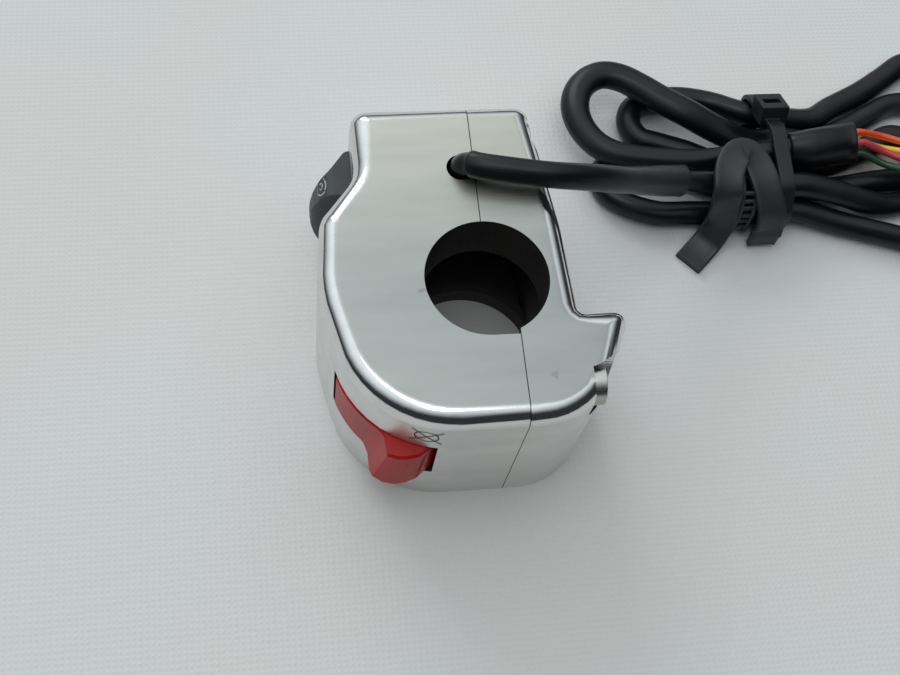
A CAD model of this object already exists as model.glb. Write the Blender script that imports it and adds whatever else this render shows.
import bpy
import bmesh
import math
import numpy as np
from mathutils import Matrix, Vector
from mathutils.bvhtree import BVHTree


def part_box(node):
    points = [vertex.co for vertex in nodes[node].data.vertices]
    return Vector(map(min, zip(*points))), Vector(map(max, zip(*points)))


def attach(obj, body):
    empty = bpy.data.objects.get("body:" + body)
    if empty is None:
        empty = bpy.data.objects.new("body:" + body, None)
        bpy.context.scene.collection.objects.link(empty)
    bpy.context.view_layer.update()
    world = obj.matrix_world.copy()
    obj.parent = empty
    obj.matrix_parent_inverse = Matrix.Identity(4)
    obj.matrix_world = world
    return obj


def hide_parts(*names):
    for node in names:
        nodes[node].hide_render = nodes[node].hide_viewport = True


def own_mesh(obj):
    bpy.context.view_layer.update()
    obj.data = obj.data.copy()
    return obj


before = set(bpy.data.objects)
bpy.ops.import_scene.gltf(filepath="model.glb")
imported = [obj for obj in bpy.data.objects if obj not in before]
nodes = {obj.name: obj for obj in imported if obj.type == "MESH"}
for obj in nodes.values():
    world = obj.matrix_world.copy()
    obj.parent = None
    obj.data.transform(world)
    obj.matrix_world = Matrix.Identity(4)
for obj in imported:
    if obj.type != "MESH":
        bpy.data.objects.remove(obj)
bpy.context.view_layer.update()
mm = 0.001
print("frame loaded:", len(nodes), "nodes")


def linear(hexCode):  # sRGB hex to the linear colour that the shader sockets take
    parts = [int(hexCode[k:k + 2], 16) / 255 for k in (0, 2, 4)]
    return (*[v / 12.92 if v <= 0.04045 else ((v + 0.055) / 1.055) ** 2.4 for v in parts], 1.0)


def perMm(size):  # texture scale that makes a feature about this many millimetres wide
    return 1000 / size


def addNode(tree, kind, settings=None, values=None, links=None):
    node = tree.nodes.new(kind)
    for key, value in (settings or {}).items():
        setattr(node, key, value)
    for key, value in (values or {}).items():
        node.inputs[key].default_value = value
    for key, socket in (links or {}).items():
        tree.links.new(socket, node.inputs[key])
    return node


def noise(tree, place, size, detail):  # size of its features in millimetres
    return addNode(tree, "ShaderNodeTexNoise", None, {"Scale": perMm(size), "Detail": detail}, {"Vector": place})


def ramp(tree, value, limits, smooth=False):
    ease = {"interpolation_type": "SMOOTHSTEP"} if smooth else None
    return addNode(tree, "ShaderNodeMapRange", ease, limits, {"Value": value})


def blend(tree, share, first, second):  # between two hex colours
    return addNode(tree, "ShaderNodeMix", {"data_type": "RGBA"}, {6: linear(first), 7: linear(second)}, {0: share})


def laidOn(tree, share, under, colour):  # a hex colour over a socket
    return addNode(tree, "ShaderNodeMix", {"data_type": "RGBA"}, {7: linear(colour)}, {0: share, 6: under})


def bumped(tree, height, strength, distance):
    return addNode(tree, "ShaderNodeBump", None, {"Strength": strength, "Distance": distance}, {"Height": height})


def reckon(tree, operation, *terms):  # numbers and sockets may be mixed
    numbers = {k: term for k, term in enumerate(terms) if isinstance(term, (int, float))}
    sockets = {k: term for k, term in enumerate(terms) if k not in numbers}
    return addNode(tree, "ShaderNodeMath", {"operation": operation}, numbers, sockets)


def feed(tree, shader, sockets):
    for key, socket in sockets.items():
        tree.links.new(socket, shader.inputs[key])


def startMaterial(name, values):
    material = bpy.data.materials.new(name)
    material.use_nodes = True
    tree = material.node_tree
    shader = tree.nodes["Principled BSDF"]
    for key, value in values.items():
        shader.inputs[key].default_value = value
    return material, tree, shader


def newPiece(name, mesh, *materials):
    piece = bpy.data.objects.new(name, mesh)
    bpy.context.scene.collection.objects.link(piece)
    for material in materials:
        piece.data.materials.append(material)
    return piece


def bake(piece):  # the evaluated shape becomes the piece's own plain mesh
    bpy.context.view_layer.update()
    shaped = bpy.data.meshes.new_from_object(piece.evaluated_get(bpy.context.evaluated_depsgraph_get()))
    old = piece.data
    piece.modifiers.clear()
    piece.data = shaped
    shaped.name = piece.name
    bpy.data.meshes.remove(old)
    return piece


def settle(piece, body, replaced=()):
    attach(piece, body)
    if replaced:
        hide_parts(*replaced)
    return piece


# The camera stands where the photograph was taken from
cameraView = {
    "place": (-42.505, -113.15, 271.721),  # mm
    "right": (0.98977, -0.10037, 0.10139),
    "up": (0.05074, 0.91187, 0.40732),
    "lens": 51.44,
    "sensor": 36,
}
lensData = bpy.data.cameras.new("photo_view")
lensData.lens = cameraView["lens"]
lensData.sensor_width = cameraView["sensor"]
lensData.clip_start = 0.01
photoView = bpy.data.objects.new("photo_view", lensData)
bpy.context.scene.collection.objects.link(photoView)
right, up = Vector(cameraView["right"]).normalized(), Vector(cameraView["up"])
back = right.cross(up).normalized()
up = back.cross(right)
photoView.matrix_world = Matrix.Translation(Vector(cameraView["place"]) * mm) @ Matrix(
    (right, up, back)).transposed().to_4x4()
bpy.context.scene.camera = photoView
print("camera set")


# Routes: the same points as the solids, in millimetres
def smoothLine(points, steps):
    p = np.array(points, float)
    p = np.vstack([p[:1], p, p[-1:]])
    out = []
    for i in range(1, len(p) - 2):
        a, b, c, d = p[i - 1:i + 3]
        for t in np.arange(steps) / steps:
            out.append(0.5 * (2 * b + (c - a) * t + (2 * a - 5 * b + 4 * c - d) * t ** 2
                              + (3 * b - a - 3 * c + d) * t ** 3))
    return np.array(out + [p[-2]])


def evenLine(points, spacing):
    p = np.array(points, float)
    run = np.concatenate([[0], np.cumsum(np.linalg.norm(np.diff(p, axis=0), axis=1))])
    at = np.linspace(0, run[-1], max(2, int(round(run[-1] / spacing)) + 1))
    return np.stack([np.interp(at, run, p[:, k]) for k in range(3)], 1)


def lineFrames(path):  # headings and two sides that turn as little as they can
    heading = np.gradient(path, axis=0)
    heading /= np.linalg.norm(heading, axis=1)[:, None]
    start = np.array([0, 0, 1.0]) if abs(heading[0][2]) < 0.8 else np.array([1.0, 0, 0])
    sides = []
    for t in heading:
        start = start - start.dot(t) * t
        start = start / np.linalg.norm(start)
        sides.append(start)
    sides = np.array(sides)
    return heading, sides, np.cross(heading, sides)


def halfTurn(centre, radius, first, last, height):
    angles = np.radians(np.linspace(first, last, 5))
    return [(centre[0] + radius * math.cos(a), centre[1] + radius * math.sin(a), height) for a in angles]


def low(points, height):
    return [(x, y, height) for x, y in points]


harness = {
    "diameter": 6.0,  # mm over the sleeve, most of the way
    "low": 3.1,  # height of a run's middle where it lies on the floor
    "waist": (77.5, 86.0, 4.5),  # x of the two ends of the tied stretch, height of its lowest runs
    "ring": 0.9,  # mm between two rings of the tube
    "sides": 24,
    "lip": 11.4,  # mm from the start to the cut end of the sleeve outside the hole
    "mouth": 77.0,  # mm from the start to the frayed end of that sleeve
}
floorRun = harness["low"]
waistA, waistB, waistLow = harness["waist"]
sleeveLine = [(-2.7, 25.7, 36), (-2.7, 25.7, 40.6), (-2.7, 25.7, 43.3), (-1.6, 24.8, 45.9), (1.4, 23.3, 47),
              (8.7, 21.8, 47.2), (17, 20.8, 46.6), (27, 22.6, 42), (38.5, 27, 33), (48, 31.7, 24.2), (56, 35.7, 16.8)]
hankLine = (
    [(63, 37, 13.4), (70, 37, 11.4), (waistA, 37, 10.5), (waistB, 37.3, 10.5), (95, 36, 8.6), (104, 34.6, 5.6),
     (111, 34.6, 3.6)]
    + halfTurn((119, 29.6), 6.2, 90, -90, floorRun)
    + low([(110, 26.2), (97, 30.4)], floorRun)
    + [(waistB, 33.8, waistLow), (waistA, 33.3, waistLow)]
    + low([(69, 34), (59.4, 34.5), (52.2, 34.8), (46.6, 36.5), (42.5, 38.8), (39.5, 41.5), (38.4, 45.2), (40.6, 48.8),
           (46, 49.8), (54, 47.6), (62, 44.4), (69.5, 41.4)], floorRun)
    + [(waistA, 40.2, waistLow), (waistB, 40.6, waistLow)]
    + low([(96, 40.1), (108, 41.4)], floorRun)
    + halfTurn((116, 48.4), 6.2, -90, 90, floorRun)
    + low([(106, 50), (96, 46.8)], floorRun)
    + [(waistB, 47.2, waistLow), (waistA, 46.9, waistLow)]
    + low([(69.5, 48.4), (61.5, 52.4)], floorRun)
    + halfTurn((54.5, 61.3), 6.2, -90, -270, floorRun)
    + low([(62, 68.4), (70, 66.8)], floorRun)
    + [(waistA, 62.6, waistLow), (waistB, 60.6, waistLow)]
    + low([(95.9, 60.6), (102.5, 64), (111.3, 68.1), (118.5, 72.4)], floorRun)
    + halfTurn((127.5, 71), 6.2, 110, -80, floorRun)
    + low([(119, 64.4), (112, 61.2), (104, 57.2), (96, 53.8)], floorRun)
    + [(waistB, 53.7, waistLow), (waistA, 53.8, waistLow)]
    + [(69, 56.4, 6.8), (61.5, 59.6, 9.4), (55.6, 63.2, 9.8), (50.6, 67.2, 9.7), (46, 70.4, 9.6), (41.4, 71.4, 9.6),
       (37.2, 69.6, 9.6), (34.2, 65.6, 9.6), (33.2, 60.4, 9.7), (34.4, 55.2, 9.8), (37.6, 50.6, 9.9), (43, 47.8, 9.9),
       (52, 46.2, 9.9), (61, 45.4, 9.9), (69, 45.6, 10.4), (waistA, 46, 11.5), (83.4, 46.4, 12.5), (86.4, 46.4, 12.5)]
)


def sleeveTube(name, path, stations, shape):
    # stations are (distance along, radius); a sleeve that folds back into itself runs backwards along the path
    run = np.concatenate([[0], np.cumsum(np.linalg.norm(np.diff(path, axis=0), axis=1))])
    heading, side, rise = lineFrames(path)
    s, r = np.array(stations, float).T
    sides = shape["sides"]
    angle = np.linspace(0, 2 * math.pi, sides, endpoint=False)

    def along(values):
        return np.stack([np.interp(s, run, values[:, k]) for k in range(3)], 1)

    at, u, w = along(path), along(side), along(rise)
    h = along(heading)
    twist = s[:, None] / shape["twist"]
    lobe = 1 + shape["lobes"] * (0.55 * np.cos(2 * angle + 2.1 * twist) + 0.45 * np.cos(3 * angle - 1.3 * twist + 0.7)
                                 + 0.3 * np.cos(5 * angle + 3.7 * twist))
    far = s[:, None]
    lobe += shape["dents"] * np.sin(far / 7.3 + 1.7 * np.sin(far / 19)) * np.cos(angle - far / 11)
    reach = (r[:, None] * lobe)[:, :, None]
    offset = reach * (np.cos(angle)[None, :, None] * u[:, None] + np.sin(angle)[None, :, None] * w[:, None])
    wide, tall = (np.interp(s, *np.array(shape[key]).T)[:, None] for key in ("wide", "tall"))
    offset[:, :, 0] *= wide
    offset[:, :, 1] *= wide
    offset[:, :, 2] *= tall
    slant = np.interp(s, *np.array(shape["slant"]).T)[:, None] * (offset @ np.array(shape["openTo"]))
    points = at[:, None] + offset - slant[:, :, None] * h[:, None]
    faces, uv = [], []
    for i in range(len(s) - 1):
        for k in range(sides):
            n = (k + 1) % sides
            faces.append((i * sides + k, i * sides + n, (i + 1) * sides + n, (i + 1) * sides + k))
            uv += [(s[i], k / sides), (s[i], (k + 1) / sides), (s[i + 1], (k + 1) / sides), (s[i + 1], k / sides)]
    for ring, order in ((0, 1), (len(s) - 1, -1)):
        loop = [ring * sides + k for k in range(sides)][::-order]
        faces.append(tuple(loop))
        uv += [(s[ring], 0.5)] * sides
    mesh = bpy.data.meshes.new(name)
    mesh.from_pydata([tuple(p) for p in points.reshape(-1, 3) * mm], [], faces)
    layer = mesh.uv_layers.new(name="along")
    layer.data.foreach_set("uv", np.array([(a * mm, b) for a, b in uv]).ravel())
    bm = bmesh.new()
    bm.from_mesh(mesh)
    bmesh.ops.recalc_face_normals(bm, faces=bm.faces)
    bm.to_mesh(mesh)
    bm.free()
    mesh.shade_smooth()
    return mesh


def stationsFrom(parts, spacing):  # corner values of (distance, radius) filled in at an even spacing
    out = [parts[0]]
    for (s0, r0), (s1, r1) in zip(parts, parts[1:]):
        steps = max(1, int(abs(s1 - s0) / spacing))
        out += [(s0 + (s1 - s0) * k / steps, r0 + (r1 - r0) * k / steps) for k in range(1, steps + 1)]
    return out


# Black PVC: extruded sleeve, glossy where it is new, with long faint ridges from the wires inside and some dust
pvcFinish = {"colour": "0c0d11", "dust": "2a2c2f", "dustGrain": 0.35, "cloud": 14, "ridgeLength": 22, "ridges": 9}


def blackPvc():
    material, tree, shader = startMaterial("black_pvc_sleeve", {"IOR": 1.45, "Specular IOR Level": 0.4})
    uv = addNode(tree, "ShaderNodeUVMap", {"uv_map": "along"}).outputs["UV"]
    ridgeScale = (perMm(pvcFinish["ridgeLength"]), pvcFinish["ridges"], 1)
    stretched = addNode(tree, "ShaderNodeMapping", None, {"Scale": ridgeScale}, {"Vector": uv})
    ridge = addNode(tree, "ShaderNodeTexNoise", None, {"Scale": 1, "Detail": 3}, {"Vector": stretched.outputs[0]})
    place = addNode(tree, "ShaderNodeTexCoord").outputs["Object"]
    cloud = noise(tree, place, pvcFinish["cloud"], 4)
    grain = noise(tree, place, pvcFinish["dustGrain"], 2)
    specks = ramp(tree, grain.outputs["Fac"], {"From Min": 0.66, "From Max": 0.76})
    film = ramp(tree, cloud.outputs["Fac"], {"From Min": 0.45, "From Max": 0.8, "To Max": 0.3})
    dust = reckon(tree, "MAXIMUM", reckon(tree, "MULTIPLY", specks.outputs[0], 0.4).outputs[0], film.outputs[0])
    colour = blend(tree, dust.outputs[0], pvcFinish["colour"], pvcFinish["dust"])
    rough = ramp(tree, cloud.outputs["Fac"], {"From Min": 0.3, "From Max": 0.75, "To Min": 0.3, "To Max": 0.48})
    bump = bumped(tree, ridge.outputs["Fac"], 0.35, 0.0004)
    feed(tree, shader, {"Base Color": colour.outputs[2],
                        "Roughness": rough.outputs[0],
                        "Normal": bump.outputs[0]})
    return material


pvcSleeve = blackPvc()


def makeHarness():
    path = evenLine(smoothLine(sleeveLine + hankLine, 8), 0.5)
    total = float(np.linalg.norm(np.diff(path, axis=0), axis=1).sum())
    lip, mouth = harness["lip"], harness["mouth"]
    full = harness["diameter"] / 2
    parts = [(0, 2.3), (lip - 1.2, 2.35), (lip - 0.5, 2.4), (lip - 0.4, 2.62), (lip, 2.84), (lip + 0.8, 2.78),
             (lip + 16, 2.72), (mouth - 24, 2.95), (mouth - 9, 3.7), (mouth - 1.4, 3.85), (mouth, 3.95),
             (mouth + 0.15, 3.85), (mouth - 0.1, 3.55), (mouth - 5, 3.2), (mouth - 8, 3.0), (mouth - 8.4, 2.2),
             (mouth + 0.4, 2.2), (mouth + 6, 2.5), (mouth + 14, full), (total, full)]
    stations = stationsFrom(parts, harness["ring"])
    hairpin = total - 105  # the last wide turn is the fattest
    shape = {
        "sides": harness["sides"], "twist": 26, "lobes": 0.045, "dents": 0.02,
        "wide": [(0, 1), (mouth + 40, 1), (hairpin - 45, 1), (hairpin - 25, 1.2), (hairpin + 40, 1.2),
                 (hairpin + 62, 1.0)],
        "tall": [(0, 1), (mouth - 24, 1), (mouth - 6, 0.9), (mouth + 6, 0.96), (mouth + 14, 1), (hairpin - 40, 1),
                 (hairpin, 1.06), (hairpin + 40, 1.06), (hairpin + 62, 1)],
        "slant": [(0, 0), (mouth - 8, 0), (mouth - 1.5, 0.75), (mouth, 1.1), (mouth + 0.2, 1.1), (mouth + 0.3, 0)],
        "openTo": (0.1, -0.75, 0.65),  # the mouth is cut back on this side
    }
    piece = newPiece("harness_cord", sleeveTube("harness_cord", path, stations, shape), pvcSleeve)
    print("harness: %.1f mm along its middle" % total)
    return piece, path, total


harnessCord, harnessPath, harnessLength = makeHarness()
settle(harnessCord, "housing", ("harness_sleeve", "harness_hank"))

branch = {
    "line": [(83.6, 46.4, 12.5), (86.6, 46.4, 12.5), (89, 46.4, 12.5), (93, 47, 12.3), (98.5, 48, 11.4),
             (102, 48, 11.4)],
    "radius": 5.0, "wall": 0.7, "depth": 7.0, "sides": 28, "ring": 0.7,
}


def makeBranch():
    path = evenLine(smoothLine(branch["line"], 10), 0.4)
    total = float(np.linalg.norm(np.diff(path, axis=0), axis=1).sum())
    r, wall = branch["radius"], branch["wall"]
    parts = [(0, 3.2), (0.1, 3.7), (2.5, 4.2), (5.5, r * 0.95), (total - 3, r), (total - 0.2, r * 1.03),
             (total, r * 0.99), (total - 0.1, r - wall), (total - branch["depth"], r - wall - 0.2)]
    shape = {"sides": branch["sides"], "twist": 15, "lobes": 0.04, "dents": 0.03, "wide": [(0, 1), (total, 1.0)],
             "tall": [(0, 0.98), (total, 0.96)], "slant": [(0, 0), (total - 3, 0), (total, 0.2)],
             "openTo": (0, -0.3, 0.95)}
    mesh = sleeveTube("branch_sleeve_skin", path, stationsFrom(parts, branch["ring"]), shape)
    return newPiece("branch_sleeve_skin", mesh, pvcSleeve)


branchSleeve = settle(makeBranch(), "housing", ("branch_sleeve",))
print("sleeves made")


# One tree sweeps a round section along a line: wires, leads and springs
def sweepTree():
    tree = bpy.data.node_groups.new("round_wire", "GeometryNodeTree")
    face = tree.interface
    face.new_socket("Geometry", in_out="INPUT", socket_type="NodeSocketGeometry")
    face.new_socket("Radius", in_out="INPUT", socket_type="NodeSocketFloat")
    face.new_socket("Sides", in_out="INPUT", socket_type="NodeSocketInt")
    face.new_socket("Finish", in_out="INPUT", socket_type="NodeSocketMaterial")
    face.new_socket("Geometry", in_out="OUTPUT", socket_type="NodeSocketGeometry")
    given = addNode(tree, "NodeGroupInput").outputs
    line = addNode(tree, "GeometryNodeMeshToCurve", None, None, {"Mesh": given["Geometry"]})
    ring = addNode(tree, "GeometryNodeCurvePrimitiveCircle", None, None,
                   {"Radius": given["Radius"], "Resolution": given["Sides"]})
    share = addNode(tree, "GeometryNodeSplineParameter")
    marked = addNode(tree, "GeometryNodeStoreNamedAttribute", {"data_type": "FLOAT", "domain": "POINT"},
                     {"Name": "around"}, {"Geometry": ring.outputs["Curve"], "Value": share.outputs["Factor"]})
    swept = addNode(tree, "GeometryNodeCurveToMesh", None, {"Fill Caps": True},
                    {"Curve": line.outputs[0], "Profile Curve": marked.outputs[0]})
    smooth = addNode(tree, "GeometryNodeSetShadeSmooth", None, None, {"Geometry": swept.outputs[0]})
    whole = addNode(tree, "GeometryNodeRealizeInstances", None, None, {"Geometry": smooth.outputs[0]})
    done = addNode(tree, "GeometryNodeSetMaterial", None, None,
                   {"Geometry": whole.outputs[0], "Material": given["Finish"]})
    addNode(tree, "NodeGroupOutput", None, None, {0: done.outputs[0]})
    return tree


# Another sets the same small round bar on every point, along that point's own direction: rungs and ribs
def barTree():
    tree = bpy.data.node_groups.new("small_bars", "GeometryNodeTree")
    face = tree.interface
    face.new_socket("Geometry", in_out="INPUT", socket_type="NodeSocketGeometry")
    face.new_socket("Radius", in_out="INPUT", socket_type="NodeSocketFloat")
    face.new_socket("Length", in_out="INPUT", socket_type="NodeSocketFloat")
    face.new_socket("Finish", in_out="INPUT", socket_type="NodeSocketMaterial")
    face.new_socket("Geometry", in_out="OUTPUT", socket_type="NodeSocketGeometry")
    given = addNode(tree, "NodeGroupInput").outputs
    bar = addNode(tree, "GeometryNodeMeshCylinder", None, {"Vertices": 12},
                  {"Radius": given["Radius"], "Depth": given["Length"]})
    way = addNode(tree, "GeometryNodeInputNamedAttribute", {"data_type": "FLOAT_VECTOR"}, {"Name": "way"})
    turn = addNode(tree, "FunctionNodeAlignRotationToVector", {"axis": "Z"}, None,
                   {"Vector": way.outputs["Attribute"]})
    placed = addNode(tree, "GeometryNodeInstanceOnPoints", None, None,
                     {"Points": given["Geometry"], "Instance": bar.outputs["Mesh"], "Rotation": turn.outputs[0]})
    whole = addNode(tree, "GeometryNodeRealizeInstances", None, None, {"Geometry": placed.outputs[0]})
    done = addNode(tree, "GeometryNodeSetMaterial", None, None,
                   {"Geometry": whole.outputs[0], "Material": given["Finish"]})
    addNode(tree, "NodeGroupOutput", None, None, {0: done.outputs[0]})
    return tree


roundWire, smallBars = sweepTree(), barTree()


def grow(name, mesh, tree, given):  # runs a tree on a mesh, its inputs set by the sockets' identifiers
    piece = bpy.data.objects.new(name, mesh)
    modifier = piece.modifiers.new("build", "NODES")
    modifier.node_group = tree
    for item in tree.interface.items_tree:
        if item.in_out == "INPUT" and item.name in given:
            modifier[item.identifier] = given[item.name]
    bpy.context.scene.collection.objects.link(piece)
    return bake(piece)


def lineMesh(name, lines):  # open lines of points in millimetres
    points, edges = [], []
    for line in lines:
        first = len(points)
        points += [tuple(p) for p in np.array(line, float) * mm]
        edges += [(k, k + 1) for k in range(first, len(points) - 1)]
    mesh = bpy.data.meshes.new(name)
    mesh.from_pydata(points, edges, [])
    return mesh


def pointMesh(name, rows):  # rows of (place in millimetres, direction)
    mesh = bpy.data.meshes.new(name)
    mesh.from_pydata([tuple(np.array(place) * mm) for place, way in rows], [], [])
    layer = mesh.attributes.new("way", "FLOAT_VECTOR", "POINT")
    layer.data.foreach_set("vector", np.array([way for place, way in rows], float).ravel())
    return mesh


# Wire insulation: soft PVC with a waxy sheen, one colour all through or with a printed stripe
def wirePvc(name, base, shade, stripe=None):
    material, tree, shader = startMaterial(name, {"IOR": 1.53, "Roughness": 0.38, "Coat Weight": 0.15})
    place = addNode(tree, "ShaderNodeTexCoord").outputs["Object"]
    cloud = noise(tree, place, 3, 3)
    colour = blend(tree, cloud.outputs["Fac"], base, shade)
    if stripe:
        around = addNode(tree, "ShaderNodeAttribute", {"attribute_name": "around"}).outputs["Fac"]
        offset = reckon(tree, "SUBTRACT", around, 0.42)
        gap = reckon(tree, "ABSOLUTE", offset.outputs[0])
        band = ramp(tree, gap.outputs[0], {"From Min": 0.19, "From Max": 0.16})
        colour = laidOn(tree, band.outputs[0], colour.outputs[2], stripe)
    grain = noise(tree, place, 0.6, 2)
    bump = bumped(tree, grain.outputs["Fac"], 0.12, 0.0001)
    feed(tree, shader, {"Base Color": colour.outputs[2], "Normal": bump.outputs[0]})
    return material


plugWires = {
    "radius": 0.9, "sides": 14,
    "lines": {  # name: offsets across and up in the sleeve, place on the plug, colours
        "orange_wire": (2.4, 1.2, 4.2, "e0501c", "c8400f", "f2c02c", "wire_orange"),
        "yellow_wire": (0.8, -0.8, 1.4, "e8c02a", "d6aa18", None, "wire_yellow"),
        "red_wire": (-0.8, 1.4, -1.4, "c23a48", "a92a38", None, "wire_red"),
        "green_wire": (-2.4, -0.9, -4.2, "21492c", "173820", None, "wire_green"),
    },
}
for wireName, (across, rise, slotY, base, shade, stripe, slotName) in plugWires["lines"].items():
    route = [(96.5, 48 + across, 11.4 + rise), (102.1, 48 + across, 11.4 + rise), (104, 48 + across, 11.4 + rise),
             (110, 46.6 + 1.5 * across, 9.8 + 0.8 * rise), (115.8, 43.4 + slotY, 11.4), (117.9, 43.4 + slotY, 11.4)]
    wire = grow(wireName + "_skin", lineMesh(wireName, [evenLine(smoothLine(route, 8), 0.6)]), roundWire,
                {"Radius": plugWires["radius"] * mm, "Sides": plugWires["sides"],
                 "Finish": wirePvc(wireName + "_pvc", base, shade, stripe)})
    settle(wire, "housing", (wireName,))

innerLeads = {
    "radius": 0.8, "sides": 12, "sleeveStart": 36.0, "exit": (-2.7, 25.7),
    "stopWay": [(-20.2, -2, 11.4), (-20.6, 5, 8.6), (-17.8, 12, 5.8), (-13.6, 17.8, 3.6), (-8.6, 22.4, 2.4)],
    "stopApart": [(1, 0, 0.8), (1, 0, 0.8), (1, 0.3, 0.8), (0.6, 0.2, 1.2), (0, 1.1, 1)],
}


def makeLeads():
    top, (ex, ey) = innerLeads["sleeveStart"], innerLeads["exit"]
    stopLines, startLines = [], []
    for s in (-1, 1):
        points = np.array([v.co for v in nodes["stop_leads"].data.vertices]) / mm
        far = points[np.argsort(points[:, 1])[:400]]
        half = far[(far[:, 2] > np.median(far[:, 2])) == (s > 0)]
        start = half[half[:, 1] < half[:, 1].min() + 0.3].mean(0)
        way = [np.array((x, y, top - depth)) + s * np.array(apart)
               for (x, y, depth), apart in zip(innerLeads["stopWay"], innerLeads["stopApart"])]
        stopLines.append([start] + way + [(ex - 1.3, ey + s * 1.1, top - 1.4), (ex - 1.3, ey + s * 1.1, top - 0.1)])
    midZ = (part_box("start_fixed_contacts")[0].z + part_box("start_fixed_contacts")[1].z) / 2 / mm
    for s in (-1, 1):
        z = midZ + 3 * s
        startLines.append([(-4.75, 30, z), (-3.15, 30, z), (-1.4, 29.6 + 0.8 * s, z + 3),
                           (ex + 1.3, ey + 0.8 + 1.1 * s, top - 4.5), (ex + 1.3, ey + 1.1 * s, top - 1.6),
                           (ex + 1.3, ey + 1.1 * s, top - 0.1)])
    return stopLines, startLines


stopLines, startLines = makeLeads()
for node, lines, base, shade, slotName in (("stop_leads", stopLines, "e4e2d8", "cfccc0", "lead_white"),
                                           ("start_leads", startLines, "d9a21c", "c88a12", "wire_yellow")):
    given = {"Radius": innerLeads["radius"] * mm, "Sides": innerLeads["sides"],
             "Finish": wirePvc(node + "_pvc", base, shade)}
    route = lineMesh(node, [evenLine(smoothLine(line, 8), 0.6) for line in lines])
    lead = grow(node + "_skin", route, roundWire, given)
    settle(lead, "housing", (node,))
print("wires and leads made")


# Spring steel: drawn wire, bright, with fine draw marks
def drawnSteel():
    material, tree, shader = startMaterial("drawn_spring_steel", {"Metallic": 1.0, "Base Color": linear("b9bcc0")})
    place = addNode(tree, "ShaderNodeTexCoord").outputs["Object"]
    marks = noise(tree, place, 0.4, 3)
    rough = ramp(tree, marks.outputs["Fac"], {"To Min": 0.2, "To Max": 0.42})
    feed(tree, shader, {"Roughness": rough.outputs[0]})
    return material


springSteel = drawnSteel()
startSpring = {
    "from": (-18.55, 30, 22), "radius": 3.3, "turns": 4, "length": 5.1, "wire": 0.4, "anchor": -13.1, "keep": 0.66,
}
detentSpring = {
    "pivot": (-18.3253, -19.1754), "angle": 229, "height": 17.4, "from": -4.15, "length": 1.65, "radius": 1.0,
    "turns": 3, "wire": 0.2,
}


def coilLine(spec, place):  # turns about a first axis, put in place by a function of (along, across, up)
    share = np.linspace(0, 1, int(spec["turns"] * 28) + 1)
    angle = 2 * math.pi * spec["turns"] * share
    return [place(spec["length"] * k, spec["radius"] * math.cos(a), spec["radius"] * math.sin(a))
            for k, a in zip(share, angle)]


def startPlace(along, across, rise):
    x, y, z = startSpring["from"]
    return (x + along, y + across, z + rise)


def detentPlace(along, across, rise):
    turn = math.radians(detentSpring["angle"])
    u = detentSpring["from"] + along
    return (detentSpring["pivot"][0] + u * math.cos(turn) - across * math.sin(turn),
            detentSpring["pivot"][1] + u * math.sin(turn) + across * math.cos(turn), detentSpring["height"] + rise)


springGiven = {"Radius": startSpring["wire"] * mm, "Sides": 10, "Finish": springSteel}
startTurns = lineMesh("start_return_coil", [coilLine(startSpring, startPlace)])
startCoil = grow("start_return_coil", startTurns, roundWire, springGiven)
settle(startCoil, "housing", ("start_return_spring",))
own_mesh(startCoil)
springGiven["Radius"] = detentSpring["wire"] * mm
detentTurns = lineMesh("stop_detent_coil", [coilLine(detentSpring, detentPlace)])
detentCoil = grow("stop_detent_coil", detentTurns, roundWire, springGiven)
settle(detentCoil, "stop_rocker", ("stop_detent_spring",))
print("springs made")


# Wiring strap: a flat moulded strip over the bundle, both tails loose, with a rung ladder between them
strap = {
    "line": [(57.4, 22, .75), (60.4, 24.8, .9), (63.2, 27.4, 2.4), (64.6, 28.9, 6), (65, 30.4, 11), (65, 32.8, 16.2),
             (65.6, 37.4, 18.4), (68, 41.4, 18.6), (71, 42.2, 18.2), (73.2, 39.6, 17.2), (74.6, 34.8, 16.2),
             (76.2, 29.4, 12.8), (76.6, 27.4, 9), (76.6, 26.9, 5), (76.6, 26.7, 1.5)],
    "wide": 7.2, "thick": 1.5, "bead": 0.25,
    "ladderX": (69.2, 72.4), "ladder": [(36.5, 16.6), (32.6, 15.2), (30.2, 11), (29.6, 6.4), (29.6, 2.6)], "rungs": 6,
    "rungRadius": 0.55, "railRadius": 0.6,
}


# Strap plastic: soft black polythene, matt with a slight grey bloom and scuffed edges
def strapPlastic():
    material, tree, shader = startMaterial("black_polythene", {"IOR": 1.5})
    place = addNode(tree, "ShaderNodeTexCoord").outputs["Object"]
    bloom = noise(tree, place, 6, 5)
    grain = noise(tree, place, 0.5, 3)
    colour = blend(tree, bloom.outputs["Fac"], "14161a", "2c2e32")
    rough = ramp(tree, bloom.outputs["Fac"], {"To Min": 0.34, "To Max": 0.6})
    bump = bumped(tree, grain.outputs["Fac"], 0.2, 0.0001)
    feed(tree, shader, {"Base Color": colour.outputs[2],
                        "Roughness": rough.outputs[0],
                        "Normal": bump.outputs[0]})
    return material


polythene = strapPlastic()


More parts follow.
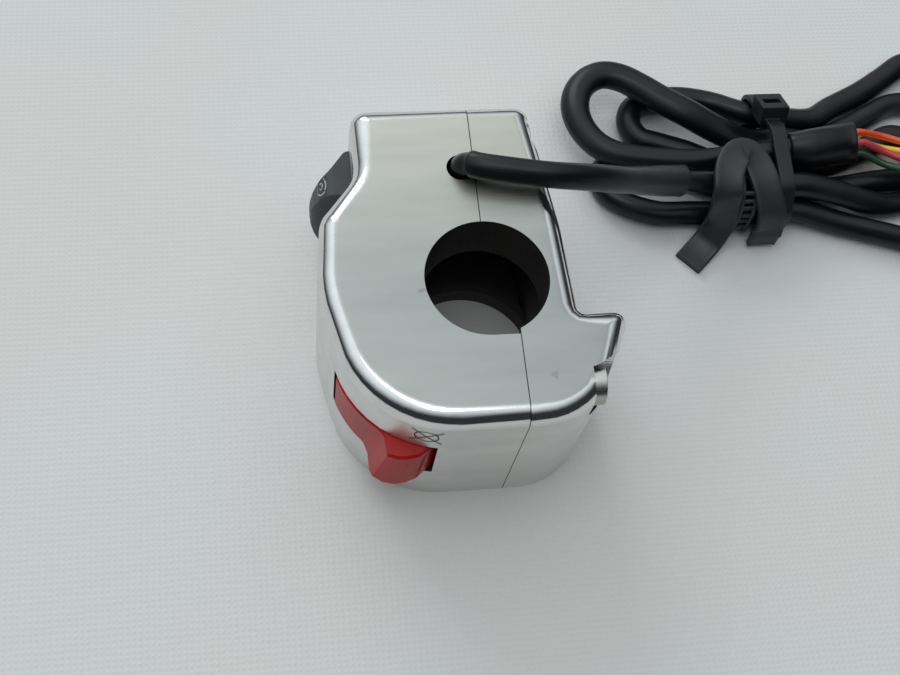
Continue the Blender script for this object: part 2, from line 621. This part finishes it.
def makeStrap():
    path = evenLine(smoothLine(strap["line"], 8), 0.5)
    heading = np.gradient(path, axis=0)
    heading /= np.linalg.norm(heading, axis=1)[:, None]
    side = np.cross(heading, (0, 0, 1.0))
    side /= np.linalg.norm(side, axis=1)[:, None]
    face = np.cross(side, heading)
    w, t, b = strap["wide"] / 2, strap["thick"] / 2, strap["bead"]
    section = [(w - 0.5, t + b), (w - 0.15, t + b - 0.15), (w, t - 0.1), (w, -t + 0.3), (w - 0.3, -t), (-w + 0.3, -t),
               (-w, -t + 0.3), (-w, t - 0.1), (-w + 0.15, t + b - 0.15), (-w + 0.5, t + b), (-w + 1.3, t),
               (w - 1.3, t)]
    n = len(section)
    points = [p + a * s + c * f for p, s, f in zip(path, side, face) for a, c in section]
    faces = [(i * n + k, i * n + (k + 1) % n, (i + 1) * n + (k + 1) % n, (i + 1) * n + k)
             for i in range(len(path) - 1) for k in range(n)]
    faces += [tuple(range(n))[::-1], tuple((len(path) - 1) * n + k for k in range(n))]
    mesh = bpy.data.meshes.new("wiring_strap_skin")
    mesh.from_pydata([tuple(p) for p in np.array(points) * mm], [], faces)
    bm = bmesh.new()
    bm.from_mesh(mesh)
    bmesh.ops.recalc_face_normals(bm, faces=bm.faces)
    bm.to_mesh(mesh)
    bm.free()
    mesh.shade_smooth()
    mesh.set_sharp_from_angle(angle=math.radians(50))
    return newPiece("wiring_strap_skin", mesh, polythene)


wiringStrap = settle(makeStrap(), "housing", ("wiring_strap",))
ladderX = strap["ladderX"]
ladderLine = evenLine(smoothLine([(0, y, z) for y, z in strap["ladder"]], 8), 0.5)
railLines = lineMesh("strap_ladder_rails", [ladderLine + (x, 0, 0) for x in ladderX])
rails = grow("strap_ladder_rails", railLines, roundWire,
             {"Radius": strap["railRadius"] * mm, "Sides": 10, "Finish": polythene})
settle(rails, "housing", ())
rungPlaces = np.linspace(8, len(ladderLine) - 6, strap["rungs"]).astype(int)
rungAt = ladderLine[rungPlaces] + ((ladderX[0] + ladderX[1]) / 2, 0, 0)
rungs = grow("strap_ladder_rungs", pointMesh("strap_ladder_rungs", [(p, (1, 0, 0)) for p in rungAt]), smallBars,
             {"Radius": strap["rungRadius"] * mm, "Length": (ladderX[1] - ladderX[0]) * mm, "Finish": polythene})
settle(rungs, "housing", ())
print("strap made")


# A finished copy of a solid: its triangles joined, flat faces made whole, sharp edges broken where a width is given
def finishedCopy(node, name, edge, material):
    source = nodes[node].data
    bm = bmesh.new()
    points = [bm.verts.new(v.co) for v in source.vertices]
    for face in source.polygons:
        bm.faces.new([points[i] for i in face.vertices])
    bmesh.ops.remove_doubles(bm, verts=bm.verts, dist=2e-6)
    bmesh.ops.dissolve_degenerate(bm, edges=bm.edges, dist=2e-6)
    for height, way in edge.get("flats", ()):  # a large notched face is filled anew between its own edges
        level = [f for f in bm.faces if all(abs(v.co.z - height) < 2e-6 for v in f.verts)]
        bmesh.ops.delete(bm, geom=level, context="FACES_ONLY")
        bmesh.ops.delete(bm, geom=[e for e in bm.edges if not e.link_faces], context="EDGES")
        rims = [e for e in bm.edges if len(e.link_faces) == 1]
        filled = bmesh.ops.triangle_fill(bm, use_beauty=True, use_dissolve=False, edges=rims, normal=(0, 0, way))
        for f in filled["geom"]:
            if isinstance(f, bmesh.types.BMFace) and f.normal.z * way < 0:
                f.normal_flip()
    if edge["width"]:
        bmesh.ops.dissolve_limit(bm, angle_limit=math.radians(edge.get("flat", 0.4)), verts=bm.verts, edges=bm.edges)
    mesh = bpy.data.meshes.new(name)
    bm.to_mesh(mesh)
    bm.free()
    mesh.shade_smooth()
    piece = newPiece(name, mesh, material)
    if edge["width"]:
        rounding = piece.modifiers.new("broken_edges", "BEVEL")
        rounding.width = edge["width"] * mm
        rounding.segments = edge.get("segments", 2)
        rounding.limit_method = "ANGLE"
        rounding.angle_limit = math.radians(edge.get("angle", 35))
        rounding.use_clamp_overlap = edge.get("clamp", False)
    else:
        mesh.set_sharp_from_angle(angle=math.radians(edge["angle"]))
    weights = piece.modifiers.new("flat_faces", "WEIGHTED_NORMAL")
    weights.keep_sharp = True
    return bake(piece)


# Cast aluminium, machined face: brushed flat face, buffed rim that mirrors the room, satin sides, a few old scuffs
housingFinish = {
    "colour": "e6e7e5", "stain": "d3d5d3", "face": "b4b7b5", "faceTail": "d0cfc7",  # paler towards the tail
    "scuff": "8d8c88", "joint": "1a1a1a", "brushLine": 0.35, "brushLength": 12, "brushTurn": 6,
    "rim": (38.2, 39.4),  # mm, height where the buffed rim begins
    "parting": (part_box("rear_housing")[1].x / mm, 0.0, 0.2),  # mm, x on the nose and on the tail, width
    "scuffs": [(-13.3, -2.4, 1.7), (17.0, 37.4, 1.2), (11.0, -22.0, 1.3)],  # x, y and radius of each in mm
}


def castAluminium():
    spec = housingFinish
    material, tree, shader = startMaterial("brushed_cast_aluminium", {"Metallic": 1.0})
    coords = addNode(tree, "ShaderNodeTexCoord").outputs
    parts = addNode(tree, "ShaderNodeSeparateXYZ", None, None, {0: coords["Object"]}).outputs
    facing = addNode(tree, "ShaderNodeSeparateXYZ", None, None, {0: coords["Normal"]}).outputs
    lines = addNode(tree, "ShaderNodeMapping", None,
                    {"Rotation": (0, 0, math.radians(-spec["brushTurn"])),
                     "Scale": (perMm(spec["brushLength"]), perMm(spec["brushLine"]), perMm(spec["brushLine"]))},
                    {"Vector": coords["Object"]})
    brush = addNode(tree, "ShaderNodeTexNoise", None, {"Scale": 1, "Detail": 3}, {"Vector": lines.outputs[0]})
    streak = addNode(tree, "ShaderNodeMapping", None, {"Scale": (perMm(30), perMm(5), perMm(8))},
                     {"Vector": coords["Object"]})
    cloud = addNode(tree, "ShaderNodeTexNoise", None, {"Scale": 1, "Detail": 4}, {"Vector": streak.outputs[0]})
    high = ramp(tree, parts[2], {"From Min": spec["rim"][0] * mm, "From Max": spec["rim"][1] * mm}, smooth=True)
    level = ramp(tree, facing[2], {"From Min": 0.999, "From Max": 0.97}, smooth=True)
    buffed = reckon(tree, "MULTIPLY", high.outputs[0], level.outputs[0])
    dull = ramp(tree, brush.outputs["Fac"], {"From Min": 0.25, "From Max": 0.75, "To Min": 0.33, "To Max": 0.43})
    rough = addNode(tree, "ShaderNodeMix", {"data_type": "FLOAT"}, {3: 0.12},
                    {0: buffed.outputs[0], 2: dull.outputs[0]})
    fleck = addNode(tree, "ShaderNodeTexNoise", None, {"Scale": perMm(0.9), "Detail": 4, "Roughness": 0.7},
                    {"Vector": coords["Object"]})
    scuffed = None
    for x, y, radius in spec["scuffs"]:
        gap = addNode(tree, "ShaderNodeVectorMath", {"operation": "DISTANCE"}, {1: (x * mm, y * mm, 43 * mm)},
                      {0: coords["Object"]})
        near = ramp(tree, gap.outputs["Value"],
                    {"From Min": radius * mm, "From Max": 0.3 * radius * mm, "To Max": 0.2})
        mark = reckon(tree, "ADD", near.outputs[0], fleck.outputs["Fac"])
        patch = ramp(tree, mark.outputs[0], {"From Min": 0.66, "From Max": 0.7})
        inside = reckon(tree, "GREATER_THAN", near.outputs[0], 0.001)
        only = reckon(tree, "MULTIPLY", patch.outputs[0], inside.outputs[0])
        scuffed = only.outputs[0] if scuffed is None else reckon(tree, "MAXIMUM", scuffed, only.outputs[0]).outputs[0]
    tone = ramp(tree, cloud.outputs["Fac"], {"From Min": 0.3, "From Max": 0.7, "To Max": 0.7})
    metal = blend(tree, tone.outputs[0], spec["colour"], spec["stain"])
    flat = ramp(tree, facing[2], {"From Min": 0.97, "From Max": 0.995}, smooth=True)
    toTail = ramp(tree, parts[1], {"From Min": 0.0, "From Max": 0.035})
    veil = blend(tree, toTail.outputs[0], spec["face"], spec["faceTail"])
    matt = addNode(tree, "ShaderNodeMix", {"data_type": "RGBA", "blend_type": "MULTIPLY"}, None,
                   {0: flat.outputs[0], 6: metal.outputs[2], 7: veil.outputs[2]})  # duller than the buffed rim
    marked = laidOn(tree, scuffed, matt.outputs[2], spec["scuff"])
    noseX, tailX, jointWidth = (k * mm for k in spec["parting"])
    behind = reckon(tree, "GREATER_THAN", parts[1], 0)
    jointX = ramp(tree, behind.outputs[0], {"To Min": noseX, "To Max": tailX})
    aside = reckon(tree, "SUBTRACT", parts[0], jointX.outputs[0])
    apart = reckon(tree, "ABSOLUTE", aside.outputs[0])
    joint = ramp(tree, apart.outputs[0], {"From Min": 0.7 * jointWidth, "From Max": 0.4 * jointWidth, "To Max": 0.9})
    marked = laidOn(tree, joint.outputs[0], marked.outputs[2], spec["joint"])
    calm = ramp(tree, buffed.outputs[0], {"To Min": 0.1, "To Max": 0.02})
    bump = addNode(tree, "ShaderNodeBump", None, {"Distance": 0.00004},
                   {"Height": brush.outputs["Fac"], "Strength": calm.outputs[0]})
    feed(tree, shader, {"Base Color": marked.outputs[2],
                        "Roughness": rough.outputs[0],
                        "Normal": bump.outputs[0]})
    return material


# Inside of the casting: left as cast and darkened, so it drinks the light
def darkCasting():
    material, tree, shader = startMaterial("dark_as_cast_inside", {"Metallic": 0.35})
    place = addNode(tree, "ShaderNodeTexCoord").outputs["Object"]
    sand = noise(tree, place, 0.8, 4)
    stain = noise(tree, place, 9, 3)
    colour = blend(tree, stain.outputs["Fac"], "232322", "3a3935")
    rough = ramp(tree, sand.outputs["Fac"], {"To Min": 0.4, "To Max": 0.68})
    bump = bumped(tree, sand.outputs["Fac"], 0.3, 0.0002)
    feed(tree, shader, {"Base Color": colour.outputs[2],
                        "Roughness": rough.outputs[0],
                        "Normal": bump.outputs[0]})
    return material


aluminium, castInside = castAluminium(), darkCasting()
housingEdge = {"width": 0, "angle": 32, "flats": [(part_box("front_housing")[1].z, 1), (0.0, -1)]}
rearShell = finishedCopy("rear_housing", "rear_shell", housingEdge, aluminium)
frontShell = finishedCopy("front_housing", "front_shell", housingEdge, aluminium)


def paintInside(shells):  # a face from which most ways out are blocked belongs to the inside
    points, faces = [], []
    for shell in shells:
        first = len(points)
        points += [v.co.copy() for v in shell.data.vertices]
        faces += [[first + i for i in p.vertices] for p in shell.data.polygons]
    walls = BVHTree.FromPolygons(points, faces)
    ways = [Vector((math.cos(a) * math.sin(t), math.sin(a) * math.sin(t), math.cos(t)))
            for t, count in ((0.0, 1), (0.6, 6), (1.1, 8))
            for a in np.linspace(0, 2 * math.pi, count, endpoint=False)]
    for shell in shells:
        shell.data.materials.append(castInside)
        for face in shell.data.polygons:
            start = face.center + face.normal * 0.00002
            turn = face.normal.to_track_quat("Z", "Y")
            blocked = sum(walls.ray_cast(start, turn @ way, 0.07)[0] is not None for way in ways)
            face.material_index = 1 if blocked > 0.5 * len(ways) else 0


paintInside([rearShell, frontShell])
settle(rearShell, "housing", ("rear_housing",))
settle(frontShell, "housing", ("front_housing",))
print("housing finished")


# Moulded plastic: gloss or satin from the tool, faint flow marks, rubbed paler where hands touch
def mouldedPlastic(name, base, worn, rough, grainSize, grainDepth):
    material, tree, shader = startMaterial(name, {"IOR": 1.52, "Specular IOR Level": 0.35})
    place = addNode(tree, "ShaderNodeTexCoord").outputs["Object"]
    flow = noise(tree, place, 7, 4)
    grain = noise(tree, place, grainSize, 3)
    tone = ramp(tree, flow.outputs["Fac"], {"From Min": 0.35, "From Max": 0.75})
    colour = blend(tree, tone.outputs[0], base, worn)
    dull = ramp(tree, grain.outputs["Fac"],
                {"From Min": 0.3, "From Max": 0.7, "To Min": rough[0], "To Max": rough[1]})
    bump = bumped(tree, grain.outputs["Fac"], 0.3, grainDepth * mm)
    feed(tree, shader, {"Base Color": colour.outputs[2],
                        "Roughness": dull.outputs[0],
                        "Normal": bump.outputs[0]})
    return material


redAbs = mouldedPlastic("red_moulded_abs", "b80f10", "a80e0e", (0.32, 0.44), 0.5, 0.03)
greyAbs = mouldedPlastic("grey_moulded_abs", "35383a", "3f4244", (0.36, 0.5), 0.4, 0.06)
blackAbs = mouldedPlastic("black_moulded_abs", "191a1c", "232426", (0.45, 0.6), 0.5, 0.05)
blackNylon = mouldedPlastic("black_nylon", "111214", "1d1e20", (0.35, 0.5), 0.45, 0.04)
whiteNylon = mouldedPlastic("white_nylon", "dcdad0", "d0cdc0", (0.35, 0.5), 0.5, 0.04)
rockerEdge = {"width": 0.3, "segments": 2, "angle": 35, "flat": 0.5, "clamp": True}
rocker = finishedCopy("stop_rocker", "stop_rocker_skin", rockerEdge, redAbs)
rockerEnd = {
    "pivot": detentSpring["pivot"], "angle": detentSpring["angle"],
    "from": 4.2, "inner": 4.5, "blend": 1.5,  # mm, where the filling begins along and outwards
    "slope": 0.2, "most": 1.0, "outSlope": 0.35, "out": 0.5,
}


def fillEnd(piece):  # the thumb end is a little fuller than the solid's
    turn = math.radians(rockerEnd["angle"])
    outward, aside = Vector((math.cos(turn), math.sin(turn), 0)), Vector((-math.sin(turn), math.cos(turn), 0))
    for v in piece.data.vertices:
        arm = v.co / mm - Vector((*rockerEnd["pivot"], 0))
        out, along = arm.dot(outward), arm.dot(aside) - rockerEnd["from"]
        if along > 0 and out > rockerEnd["inner"]:
            share = min(1, (out - rockerEnd["inner"]) / rockerEnd["blend"])
            v.co += share * mm * (min(rockerEnd["most"], rockerEnd["slope"] * along) * aside
                                  + min(rockerEnd["out"], rockerEnd["outSlope"] * along) * outward)


fillEnd(rocker)
settle(rocker, "stop_rocker", ("stop_rocker",))
buttonEdge = {"width": 0.5, "segments": 2, "angle": 40, "flat": 0.5, "clamp": True}
button = finishedCopy("start_button", "start_button_skin", buttonEdge, greyAbs)
settle(button, "start_button", ("start_button",))
tie = finishedCopy("cable_tie", "cable_tie_skin", {"width": 0.25, "segments": 2, "angle": 40}, blackNylon)
settle(tie, "housing", ("cable_tie",))
plug = finishedCopy("plug_housing", "plug_housing_skin", {"width": 0.3, "segments": 2, "angle": 40}, whiteNylon)
settle(plug, "housing", ("plug_housing",))
gripRibs = {"x": (120.4, 125.2), "count": 5, "radius": 0.32, "tall": 6.4}
ribRows = [((x, y, 11.4), (0, 0, 1)) for x in np.linspace(*gripRibs["x"], gripRibs["count"]) for y in (36.4, 50.4)]
ribs = grow("plug_grip_ribs", pointMesh("plug_grip_ribs", ribRows), smallBars,
            {"Radius": gripRibs["radius"] * mm, "Length": gripRibs["tall"] * mm, "Finish": whiteNylon})
settle(ribs, "housing", ())


# Plated and brass parts: stamped or turned metal, bright, with fingerprints and fine marks
def brightMetal(name, base, tarnish, rough):
    material, tree, shader = startMaterial(name, {"Metallic": 1.0})
    place = addNode(tree, "ShaderNodeTexCoord").outputs["Object"]
    film = noise(tree, place, 2.5, 4)
    marks = noise(tree, place, 0.3, 2)
    colour = blend(tree, film.outputs["Fac"], base, tarnish)
    dull = ramp(tree, marks.outputs["Fac"],
                {"From Min": 0.3, "From Max": 0.7, "To Min": rough[0], "To Max": rough[1]})
    feed(tree, shader, {"Base Color": colour.outputs[2], "Roughness": dull.outputs[0]})
    return material


zincPlate = brightMetal("zinc_plated_steel", "c9cac6", "a9aaa2", (0.2, 0.36))
groundSteel = brightMetal("ground_steel", "bcbfc2", "a6a9ac", (0.15, 0.3))
contactBrass = brightMetal("contact_brass", "c9a24a", "a98238", (0.25, 0.4))
screws = finishedCopy("housing_screws", "housing_screw_heads", {"width": 0.15, "segments": 2, "angle": 40}, zincPlate)
settle(screws, "housing", ("housing_screws",))
plainNodes = {  # solids whose shape is right as it is: only the finish changes
    "stop_pivot_pin": groundSteel, "stop_detent_ball": groundSteel, "stop_switch_base": blackAbs,
    "start_switch_base": blackAbs, "stop_moving_contact": contactBrass, "start_moving_contact": contactBrass,
    "stop_fixed_contacts": contactBrass, "start_fixed_contacts": contactBrass, "plug_terminals": contactBrass,
    "stop_base_screws": zincPlate, "start_base_screws": zincPlate, "sleeve_tie": blackNylon,
}
for node, material in plainNodes.items():
    nodes[node].data.materials.clear()
    nodes[node].data.materials.append(material)
print("rigid pieces finished:", len(plainNodes), "solids keep their shape")


# Printed marks: thin ink laid on the surface, generic signs only
def inkMaterial(name, ink):
    material, tree, shader = startMaterial(name, {"Roughness": 0.6})
    place = addNode(tree, "ShaderNodeTexCoord").outputs["Object"]
    wear = noise(tree, place, 0.7, 3)
    colour = blend(tree, wear.outputs["Fac"], ink[0], ink[1])
    feed(tree, shader, {"Base Color": colour.outputs[2]})
    return material


def printedMark(name, strokes, width, onSurface, ink):
    points, faces = [], []
    for line in strokes:
        p = np.array(line, float)
        way = np.gradient(p, axis=0)
        way /= np.linalg.norm(way, axis=1)[:, None] + 1e-9
        across = np.stack([-way[:, 1], way[:, 0]], 1) * width / 2
        first = len(points)
        for a, b in zip(p + across, p - across):
            points += [onSurface(*a), onSurface(*b)]
        faces += [(first + 2 * k, first + 2 * k + 1, first + 2 * k + 3, first + 2 * k + 2) for k in range(len(p) - 1)]
    mesh = bpy.data.meshes.new(name)
    mesh.from_pydata([tuple(np.array(p) * mm) for p in points], [], faces)
    return newPiece(name, mesh, ink)


def arcStroke(centre, radius, first, last, count=30):
    angles = np.radians(np.linspace(first, last, count))
    return [(centre[0] + radius * math.cos(a), centre[1] + radius * math.sin(a)) for a in angles]


stopMark = {
    "nose": (-7.828, -7.100), "radius": 24.0, "angle": -106.0, "height": 34.6,
    "ring": 2.4, "arm": 3.3, "tilt": 0.95, "line": 0.24, "lift": 0.05,
}
startMark = {"y": 28.9, "z": 30.6, "ring": 2.0, "line": 0.32, "lift": 0.05}


def onNose(u, v):
    turn = math.radians(stopMark["angle"]) + u / stopMark["radius"]
    reach = stopMark["radius"] + stopMark["lift"]
    x, y = stopMark["nose"]
    return (x + reach * math.cos(turn), y + reach * math.sin(turn), stopMark["height"] + v)


crossLine = np.linspace(-stopMark["arm"], stopMark["arm"], 20)
stopStrokes = [arcStroke((0, 0), stopMark["ring"], 0, 360, 48),
               [(k, stopMark["tilt"] * k) for k in crossLine], [(k, -stopMark["tilt"] * k) for k in crossLine]]
blackInk, greyInk = inkMaterial("black_ink", ("0c0c0c", "1c1c1c")), inkMaterial("grey_ink", ("b9bdbd", "9da1a1"))
stopSign = printedMark("stop_mark", stopStrokes, stopMark["line"], onNose, blackInk)
settle(stopSign, "housing", ())
buttonFaces = BVHTree.FromPolygons([v.co.copy() for v in button.data.vertices],
                                   [list(p.vertices) for p in button.data.polygons])


def onButton(u, v):  # the nearest point of the button to a place just off its rounded end
    spot = Vector((-32.6 - 0.55 * v, startMark["y"] + u, startMark["z"] - 0.83 * v + 2)) * mm
    place, normal, index, far = buttonFaces.find_nearest(spot)
    return tuple((place + normal * startMark["lift"] * mm) / mm)


startStrokes = [arcStroke((0, 0), startMark["ring"], 40, 330, 44), arcStroke((0.1, 0.1), 0.75, 100, 400, 30)]
startSign = printedMark("start_mark", startStrokes, startMark["line"], onButton, greyInk)
settle(startSign, "start_button", ())
print("marks laid on")


# Stage: a pale cloth on a table, soft daylight from behind on the left
stage = {"half": 0.9, "sky": 1.24, "skyLow": "2c2e30", "skyHigh": "e6ecf0", "darkSide": (-0.15, 0.35, 1),
         "cloth": "d6d9dc", "warm": "d3d1c8", "thread": 1.3, "window": 6.5, "ceiling": 1.3}


def makeFloor():
    mesh = bpy.data.meshes.new("cloth_floor")
    half = stage["half"]
    mesh.from_pydata([(-half, -half, 0), (half, -half, 0), (half, half, 0), (-half, half, 0)], [], [(0, 1, 2, 3)])
    material, tree, shader = startMaterial("pale_woven_cloth", {"Roughness": 0.9, "Specular IOR Level": 0.2})
    place = addNode(tree, "ShaderNodeTexCoord").outputs["Object"]
    weaveScale = 2 * math.pi / (20 * stage["thread"] * mm)  # a wave node runs through 20 radians per unit
    broad = noise(tree, place, 90, 2)
    warp = addNode(tree, "ShaderNodeTexWave", {"bands_direction": "X"}, {"Scale": weaveScale, "Distortion": 1.5},
                   {"Vector": place})
    weft = addNode(tree, "ShaderNodeTexWave", {"bands_direction": "Y"}, {"Scale": weaveScale, "Distortion": 1.5},
                   {"Vector": place})
    weave = reckon(tree, "MULTIPLY", warp.outputs["Fac"], weft.outputs["Fac"])
    colour = blend(tree, broad.outputs["Fac"], stage["cloth"], stage["warm"])
    bump = bumped(tree, weave.outputs[0], 0.22, 0.0003)
    feed(tree, shader, {"Base Color": colour.outputs[2], "Normal": bump.outputs[0]})
    return newPiece("cloth_floor", mesh, material)


makeFloor()
world = bpy.context.scene.world or bpy.data.worlds.new("soft_room")
bpy.context.scene.world = world
world.use_nodes = True
sky = world.node_tree
sky.nodes.clear()
ray = addNode(sky, "ShaderNodeTexCoord").outputs["Generated"]
lean = addNode(sky, "ShaderNodeVectorMath", {"operation": "DOT_PRODUCT"}, {1: stage["darkSide"]},
               {0: ray})  # darkest low in front
fade = ramp(sky, lean.outputs["Value"], {"From Min": 0.26, "From Max": 1.0}, smooth=True)
room = blend(sky, fade.outputs[0], stage["skyLow"], stage["skyHigh"])
glow = addNode(sky, "ShaderNodeBackground", None, {"Strength": stage["sky"]}, {"Color": room.outputs[2]})
addNode(sky, "ShaderNodeOutputWorld", None, None, {"Surface": glow.outputs[0]})


def softLight(name, place, aim, size, power, colour):
    data = bpy.data.lights.new(name, "AREA")
    data.shape = "RECTANGLE"
    data.size, data.size_y = size
    data.energy = power
    data.color = colour
    lamp = bpy.data.objects.new(name, data)
    bpy.context.scene.collection.objects.link(lamp)
    lamp.location = place
    lamp.rotation_euler = (Vector(aim) - Vector(place)).to_track_quat("-Z", "Y").to_euler()
    return lamp


softLight("window", (-0.4, 1.25, 0.8), (0.02, 0.02, 0.02), (0.8, 0.6), stage["window"], (0.97, 0.98, 1.0))
softLight("ceiling", (-0.1, -0.04, 1.0), (0, 0, 0), (0.6, 0.34), stage["ceiling"], (1, 0.99, 0.98))
bpy.context.scene.view_settings.view_transform = "Standard"
print("stage set")
